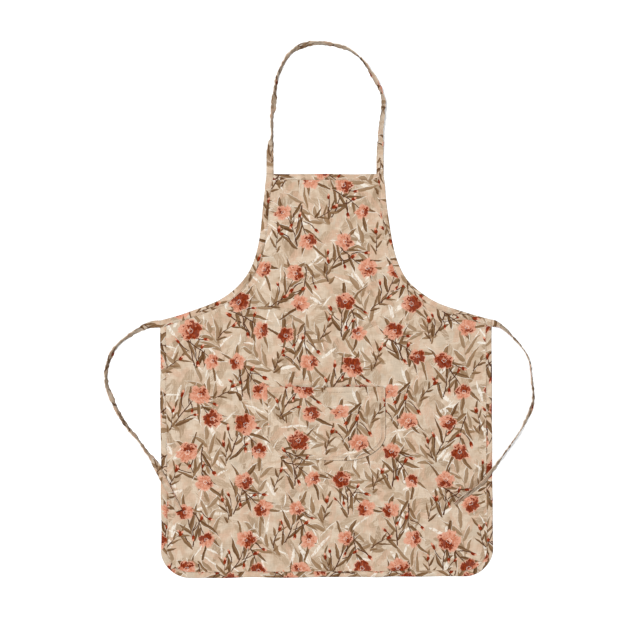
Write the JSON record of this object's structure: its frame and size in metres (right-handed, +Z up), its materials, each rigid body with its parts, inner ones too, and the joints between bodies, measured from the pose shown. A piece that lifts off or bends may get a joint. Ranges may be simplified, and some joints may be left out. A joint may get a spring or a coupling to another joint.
{
  "type": "kitchen apron",
  "caption": "Bib apron of printed cotton with a patch pocket, bound armholes, a neck strap and waist ties, lying flat and face up.",
  "frame": {"origin": "on the floor, under the middle of the box of the panel with its bindings and pocket", "axes": "+Z up out of the apron's front, +Y from the bottom hem towards the neck, +X to the right as the front is seen from above"},
  "size_m": [0.9086, 1.1327, 0.0166],
  "materials": {
    "panel_print": "matt plain-weave cotton with an all-over floral print on beige",
    "pocket_print": "matt plain-weave cotton with the same print, cut elsewhere on the bolt",
    "tape_print": "matt folded cotton tape cut from the same print"
  },
  "bodies": {
    "root": {"apron_panel": "panel_print", "pocket": "pocket_print", "armhole_binding_left": "tape_print", "armhole_binding_right": "tape_print", "neck_strap": "tape_print", "waist_tie_left": "tape_print", "waist_tie_right": "tape_print"}
  },
  "joints": []
}
